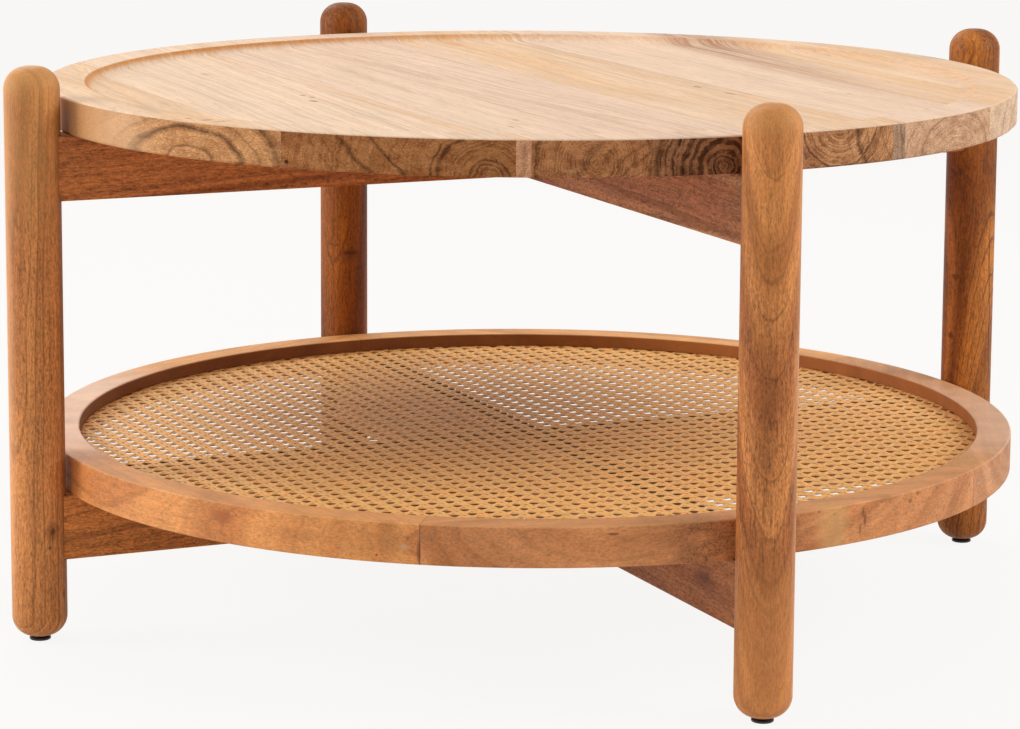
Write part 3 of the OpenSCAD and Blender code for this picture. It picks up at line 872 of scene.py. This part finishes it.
def strand(places, heights, start, direction, width, thick):
    """One cane strand: a section of four corners carried along a straight line.

    A corner is start + place along the direction + its offset across + (height + its own
    rise) upwards. The section is a flat underside with a narrower top. Both ends are closed.
    """
    across = np.array([-direction[1], direction[0]])
    offsets = np.array([-0.5, -0.32, 0.32, 0.5]) * width
    rises = np.array([-0.5, 0.5, 0.5, -0.5]) * thick
    flat = start[None, None] + places[:, None, None] * direction + offsets[None, :, None] * across
    tall = heights[:, None] + rises[None]
    rows = np.concatenate([flat, tall[..., None]], axis=2).reshape(-1, 3)
    last = len(rows) - 1
    ring = np.arange(4)
    after = (ring + 1) % 4
    here = np.arange(len(places) - 1)[:, None] * 4
    faces = np.stack([here + ring, here + 4 + ring, here + 4 + after, here + after], axis=2)
    caps = np.array([[0, 1, 2, 3], [last, last - 1, last - 2, last - 3]])
    return rows, np.concatenate([faces.reshape(-1, 4), caps])


def chord(reach, offset, marks):
    """Places on a disc's chord at that offset: its two ends, and the marks well inside them."""
    half = math.sqrt(reach * reach - offset * offset)
    return np.concatenate([[-half], marks[np.abs(marks) < half - 0.0004], [half]])


def straight_strands(sizes, reach, level, chance, side):
    """Pairs of strands, side by side along axis number side, in a near and a far half.

    Where pairs cross, a strand's height is one whole sine wave of the distance from the
    crossing, and of each pair one strand goes up first and the other down first.
    """
    pitch, pair = sizes.pitch, sizes.pair
    count = int(reach / pitch)
    cells = np.arange(-count - 1, count + 2) * pitch
    local = np.array([-2 * pair, -pair, 0.0, pair, 2 * pair, pitch / 2])
    marks = (cells[:, None] + local[None]).ravel()
    aside, ahead = np.eye(2)[side], np.eye(2)[1 - side]
    halves = {"near": [], "far": []}
    for row in range(-count, count + 1):
        for hand in (-1, 1):
            offset = row * pitch + hand * pair + chance.uniform(-1, 1) * UNEVEN
            if abs(offset) > reach - MARGIN:
                continue
            places = chord(reach, offset, marks)
            near = (places + pitch / 2) % pitch - pitch / 2
            wave = np.where(np.abs(near) < 2 * pair, np.sin(np.pi * near / (2 * pair)), 0.0)
            sign = hand if side == 0 else -hand
            width = sizes.strand * chance.uniform(*WIDTHS)
            drift = DRIFT * np.sin(places * 19.0 + chance.uniform(0, 6.28))
            rows, quads = strand(places, level + sign * sizes.dip * wave, offset * aside, ahead,
                                 width, sizes.thick)
            rows[:, side] += np.repeat(drift, 4)
            halves["near" if row < 0 else "far"].append((rows, quads, places))
    return halves


def slanted_strands(sizes, reach, level, chance, sense):
    """Single diagonals, over one set of pairs and under the other, in two halves.

    A strand's height is tanh of a cosine over its limit, so it stays high or low for most of
    the way. Its crossings come every half pitch in x, with the two sets by turns.
    """
    gap = sizes.pitch / math.sqrt(2)
    direction = np.array([1.0, sense]) / math.sqrt(2)
    normal = np.array([-sense, 1.0]) / math.sqrt(2)
    count = int(reach / gap) + 1
    cells = np.arange(-count - 2, count + 3) * gap
    local = np.array([-0.26, 0.0, 0.26, 0.5]) * gap
    halves = {"near": [], "far": []}
    for row in range(-count, count + 1):
        offset = (row + 0.5) * gap
        if abs(offset) > reach - MARGIN:
            continue
        start = normal * offset
        first = -start[1] * sense * math.sqrt(2)
        places = chord(reach, offset, (cells[:, None] + local[None] + first % gap).ravel())
        swing = np.tanh(2.2 * np.cos(np.pi * (places - first) / gap)) / math.tanh(2.2)
        width = sizes.slant * chance.uniform(*WIDTHS)
        rows, quads = strand(places, level + sense * sizes.rise * swing, start, direction,
                             width, sizes.thick)
        halves["near" if row < 0 else "far"].append((rows, quads, places))
    return halves


def weave(name, strands, material):
    """Joins strands into one piece and rides it on the table in place of the plain panel."""
    rows, faces, maps, count = [], [], [], 0
    for shift, (vertices, quads, places) in enumerate(strands):
        rows.append(vertices)
        faces.append(quads + count)
        count += len(vertices)
        maps.append(np.stack([np.tile(np.array([0.0, 0.3, 0.7, 1.0]), len(places)) + 2.0 * shift,
                              np.repeat(places, 4)], axis=1))
    made = solid(name, np.concatenate(rows), faces, material, np.concatenate(maps))
    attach(made, TABLE)
    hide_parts("cane_panel")


def cane_finish(name, tones, seed, level, rise):
    """Split cane: long fine streaks along each strand, and a tone of its own for each."""
    s = Shader(name, Specular_IOR_Level=0.45)
    across, along = s.own_map()
    x, y, z = s.place()
    own = s.chance(s.math("FLOOR", across / 2) + seed)
    grain = s.noise(across * 7, along * 170, seed, 2, 0.7)
    patch = s.noise(across * 0.5, along * 9, seed + 5, 2)
    share = own * 0.45 + grain * 0.45 + s.step(patch, 0.45, 0.75) * 0.35
    joint = s.step(s.noise(across * 0.5 + 3, along * 30, seed, 0), 0.74, 0.8)
    # painted shade on the edges of a strand and where it passes below another
    side = abs(s.math("MODULO", across, 2) - 0.5)
    sunk = s.step(z, level + rise * 1.1, level - rise * 1.3)
    gap_shade = s.most(s.step(side, 0.26, 0.5) * 0.55, sunk * 0.75)
    # painted shade: the middle of the shelf, under the tray, is painted darker and browner
    far = s.step(s.hypot(x + 0.03, y - 0.08), 0.02, 0.37)
    colour = s.layers(tones.cane, (tones.cane_dark, s.capped(share)),
                      (tones.cane_dark, joint * 0.5), (tones.cane_gap_shade, gap_shade),
                      (srgb(132, 66, 6), (1 - far) * 0.46))
    colour = s.scale(colour, (0.5 + own * 0.34 + grain * 0.76) * (0.78 + far * 0.42))
    return s.finish(colour, 0.42 + grain * 0.2, grain, 0.15)


class TABLE_OT_cane(bpy.types.Operator):
    """Weave the cane: pairs along X and Y, and single strands on both diagonals."""

    bl_idname = "coffee_table.cane"
    bl_label = "Weave the cane"

    def execute(self, context):
        sizes, tones = context.scene.table_cane, context.scene.table_wood
        lowest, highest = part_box("cane_panel")
        level = (lowest.z + highest.z) / 2
        chance = np.random.RandomState(sizes.seed)
        families = {"lengthwise": (straight_strands, 0), "crosswise": (straight_strands, 1),
                    "rising": (slanted_strands, 1), "falling": (slanted_strands, -1)}
        for number, (family, (strands, way)) in enumerate(families.items()):
            halves = strands(sizes, highest.x, level, chance, way)
            finish = cane_finish(f"cane_{family}_finish", tones, 10 * number, level, sizes.rise)
            for half, rows in halves.items():
                weave(f"cane_{family}_{half}", rows, finish)
        return {"FINISHED"}


# ---------------- small wood and hardware


def speckled(name, pale, dark, scales, rough, strength):
    """Two tones in one noise, which changes over the scales times each coordinate."""
    s = Shader(name)
    grain = s.noise(*[part * scale for part, scale in zip(s.place(), scales)], 3)
    return s.finish(s.blend(pale, dark, grain), rough, grain, strength)


class TABLE_OT_joinery(bpy.types.Operator):
    """Finish the strip under the cane, the dowels and the pins."""

    bl_idname = "coffee_table.joinery"
    bl_label = "Finish the small joinery"

    def execute(self, context):
        tones = context.scene.table_wood
        s = Shader("strip_wood")
        x, y, z = s.place()
        out = s.hypot(x, y)
        around = s.math("ARCTAN2", y, x) * 0.38
        timber = Timber(tones.hoop, tones.hoop_streak, tones.post_dark,
                        (0.2, 0), 0.004, lines=0.15, seed=41)
        colour, height = sawn(s, timber, around, out, z, tones.line)
        dress("cane_strip", s.finish(colour, 0.6, height, distance=0.0004))
        beech = speckled("dowel_beech", srgb(222, 190, 150), srgb(190, 150, 108),
                         (300, 300, 40), 0.6, 0.2)
        dress("hoop_joint_dowels", beech)
        dress("hoop_beam_dowels", beech)
        dress("hoop_joint_pins", speckled("pin_filler", srgb(150, 138, 122), srgb(96, 82, 66),
                                          (900, 900, 900), 0.7, 0.3))
        return {"FINISHED"}


def metal_finish(name, pale, dark, rough):
    """Worked metal: fine scratches both ways, dull patches and darker, rougher stains."""
    s = Shader(name, Metallic=1)
    place = x, y, z = s.place()
    scratch = s.noise(x * 400, y * 400, z * 3000, 2, 0.7)
    patch = s.even(place, 120, 3)
    colour = s.blend(pale, dark, s.step(patch, 0.4, 0.75) * 0.6 + scratch * 0.2)
    return s.finish(colour, rough + patch * 0.2, scratch, 0.15, 0.0002)


def thread(node, pitch, depth, material):
    """A threaded stem in place of the plain one.

    Its radius at turn a and height z is the outer radius less the depth times a triangle
    wave of z over pitch less a over a full turn, so the crests form one helix. The thread
    fades out at both ends, where the stem is chamfered and closed.
    """
    lowest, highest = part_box(node)
    centre = ((lowest.x + highest.x) / 2, (lowest.y + highest.y) / 2)
    outer = (highest.x - lowest.x) / 2
    tall = highest.z - lowest.z
    around, levels = 24, int(tall / pitch * 8)
    angle = np.arange(around) / around * TURN
    up = np.linspace(0, tall, levels)
    phase = (up[:, None] / pitch - angle[None] / TURN) % 1.0
    groove = 1.0 - np.abs(2.0 * phase - 1.0)
    fade = np.clip(np.minimum(up, tall - up) / pitch, 0, 1)[:, None]
    radius = outer - depth * groove * fade - 0.6 * depth * (1 - fade)
    ring = np.stack([centre[0] + radius * np.cos(angle), centre[1] + radius * np.sin(angle),
                     np.broadcast_to(lowest.z + up[:, None], radius.shape)], axis=2)
    rows = np.concatenate([ring.reshape(-1, 3), [[*centre, lowest.z], [*centre, highest.z]]])
    here = np.arange(levels - 1)[:, None] * around
    k = np.arange(around)
    after = (k + 1) % around
    quads = np.stack([here + k, here + after, here + around + after, here + around + k], axis=2)
    foot = levels * around
    last = foot - around
    fans = np.concatenate([np.stack([after, k, np.full(around, foot)], axis=1),
                           np.stack([last + k, last + after, np.full(around, foot + 1)], axis=1)])
    return solid(f"thread_{node}", rows, [quads.reshape(-1, 4), fans], material)


class TABLE_OT_hardware(bpy.types.Operator):
    """Finish bolts, nuts, washers, screws, nails and inserts, and thread the feet's stems."""

    bl_idname = "coffee_table.hardware"
    bl_label = "Finish the hardware"

    def execute(self, context):
        sizes = context.scene.table_feet
        steel = metal_finish("zinc_steel", srgb(196, 198, 202), srgb(140, 140, 142), 0.32)
        brass = metal_finish("insert_brass", srgb(214, 178, 104), srgb(160, 120, 62), 0.34)
        for node in ("hanger_bolts", "bolt_washers", "bolt_nuts", "tray_screws", "lap_screws",
                     "strip_nails"):
            dress(node, steel)
        dress("foot_inserts", brass)
        for side in SIDES:
            node = f"foot_stem_{side}"
            dress(node, steel)
            made = thread(node, sizes.pitch, sizes.depth, steel)
            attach(made, f"foot_{side}")
            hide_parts(node)
        return {"FINISHED"}


class TABLE_OT_pads(bpy.types.Operator):
    """Finish the black pads of the feet, scuffed where they meet the floor."""

    bl_idname = "coffee_table.pads"
    bl_label = "Finish the foot pads"

    def execute(self, context):
        s = Shader("pad_black")
        place = x, y, z = s.place()
        grain = s.even(place, 1800)
        scuff = s.step(z, 0.0012, 0) * s.noise(x * 500, y * 500, 0, 3)
        colour = s.blend(srgb(26, 25, 25), srgb(88, 84, 80), scuff * 0.6)
        material = s.finish(colour, 0.45 + scuff * 0.3, grain, 0.2, 0.0002)
        for side in SIDES:
            dress(f"foot_pad_{side}", material)
        return {"FINISHED"}


# ---------------- stage

# each lamp's place, the height on the middle line that it aims at, and its side
LAMPS = {
    "top": ((-0.3, -0.2, 2.6), 0.3, 2.2),
    "left": ((-2.6, 0.9, 1.15), 0.2, 1.3),
    "right": ((2, -1.6, 1.6), 0.2, 1.3),
    "back": ((-0.3, 2.2, 2), 0.2, 1.4),
}
CAMERA_PLACE = (-1.204996, -2.677571, 0.760691)
CAMERA_AHEAD = (0.400073, 0.90198, -0.1624)
CAMERA_UP = (0.060422, 0.150855, 0.986708)
CAMERA_LENS, CAMERA_SENSOR, CAMERA_SHIFT = 125.714, 36, -0.0985
FLOOR_REACH = 40
FLOOR_GREY = (0.86, 0.86, 0.86)
ROOM_LIGHT = (1, 0.985, 0.965)


def cleared(data):
    """The emptied node tree of a material or world."""
    data.use_nodes = True
    data.node_tree.nodes.clear()
    return Nodes(data.node_tree)


def seen(nodes):
    """1 for rays that show the stage itself: from the camera, a mirror or glass."""
    camera, mirror, glass = [nodes.node("ShaderNodeLightPath", out=f"Is {kind} Ray")
                             for kind in ("Camera", "Glossy", "Transmission")]
    return nodes.math("MAXIMUM", nodes.math("MAXIMUM", camera, mirror), glass)


def shown(nodes, share, lit, white, output):
    """Ends a tree in a mix: white by share, and what takes the light otherwise."""
    mix = nodes.node("ShaderNodeMixShader", None, {0: share, 1: lit, 2: white})
    nodes.node(output, None, {"Surface": mix})


class TABLE_OT_stage(bpy.types.Operator):
    """Lay the floor, set the soft lamps and place the camera."""

    bl_idname = "coffee_table.stage"
    bl_label = "Set the stage"

    def execute(self, context):
        values, scene = context.scene.table_stage, context.scene
        # floor: the backdrop's colour where it is seen, with some of its own shadow
        corners = np.array([[-1, -1, 0], [1, -1, 0], [1, 1, 0], [-1, 1, 0]]) * FLOOR_REACH
        material = bpy.data.materials.new("floor_white")
        floor = solid("floor", corners, [np.array([[0, 1, 2, 3]])], material, smooth=False)
        nodes = cleared(material)
        matt = nodes.node("ShaderNodeBsdfDiffuse", None, {"Color": FLOOR_GREY})
        glow = nodes.node("ShaderNodeEmission", None, {"Color": values.white})
        shown(nodes, seen(nodes) * (1 - values.shadow), matt, glow, "ShaderNodeOutputMaterial")
        # world: the same white where it is seen, and soft light elsewhere
        scene.world = bpy.data.worlds.new("studio")
        nodes = cleared(scene.world)
        soft = nodes.node("ShaderNodeBackground", None,
                          {"Color": ROOM_LIGHT, "Strength": values.world})
        plain = nodes.node("ShaderNodeBackground", None, {"Color": values.white})
        shown(nodes, seen(nodes), soft, plain, "ShaderNodeOutputWorld")
        # square lamps
        for name, (place, aim, side) in LAMPS.items():
            data = bpy.data.lights.new(f"lamp_{name}", "AREA")
            data.shape, data.energy, data.size = "SQUARE", getattr(values, name), side
            lamp = bpy.data.objects.new(f"lamp_{name}", data)
            lamp.location = place
            way = Vector((0, 0, aim)) - Vector(place)
            lamp.rotation_euler = way.to_track_quat("-Z", "Y").to_euler()
            scene.collection.objects.link(lamp)
        # camera
        data = bpy.data.cameras.new("camera")
        data.lens, data.sensor_width, data.shift_y = CAMERA_LENS, CAMERA_SENSOR, CAMERA_SHIFT
        data.clip_start, data.clip_end = 0.05, 100
        camera = bpy.data.objects.new("camera", data)
        scene.collection.objects.link(camera)
        forward = Vector(CAMERA_AHEAD).normalized()
        right = forward.cross(Vector(CAMERA_UP)).normalized()
        turn = Matrix((right, right.cross(forward), -forward)).transposed()
        camera.matrix_world = Matrix.Translation(CAMERA_PLACE) @ turn.to_4x4()
        scene.camera = camera
        scene.view_settings.view_transform = "Standard"
        return {"FINISHED"}


# ---------------- panel

OPERATORS = (TABLE_OT_tray, TABLE_OT_posts, TABLE_OT_beams, TABLE_OT_hoop, TABLE_OT_cane,
             TABLE_OT_joinery, TABLE_OT_hardware, TABLE_OT_pads, TABLE_OT_stage)
GROUPS = {"table_cane": CaneSizes, "table_feet": FootSizes, "table_hoop": HoopSizes,
          "table_wood": WoodTones, "table_stage": StageValues}


class TABLE_PT_panel(bpy.types.Panel):
    """Lists the values and the steps that finish the table."""

    bl_idname = "TABLE_PT_panel"
    bl_label = "Coffee table"
    bl_space_type = "VIEW_3D"
    bl_region_type = "UI"
    bl_category = "Coffee table"

    def draw(self, context):
        for group, kind in GROUPS.items():
            box = self.layout.box()
            box.label(text=kind.__name__)
            for name in kind.__annotations__:
                box.prop(getattr(context.scene, group), name)
        for operator in OPERATORS:
            self.layout.operator(operator.bl_idname)


def register():
    """Adds the classes to Blender, and the values to its scenes."""
    for kind in (*GROUPS.values(), *OPERATORS, TABLE_PT_panel):
        bpy.utils.register_class(kind)
    for group, kind in GROUPS.items():
        setattr(bpy.types.Scene, group, PointerProperty(type=kind))


def unregister():
    """Takes away all that register adds."""
    for group in GROUPS:
        delattr(bpy.types.Scene, group)
    for kind in (TABLE_PT_panel, *reversed(OPERATORS), *reversed(GROUPS.values())):
        bpy.utils.unregister_class(kind)


def main():
    """Finishes the whole table."""
    register()
    for name in ("tray", "posts", "beams", "hoop", "cane", "joinery", "hardware", "pads", "stage"):
        getattr(bpy.ops.coffee_table, name)()


if __name__ == "__main__":
    main()
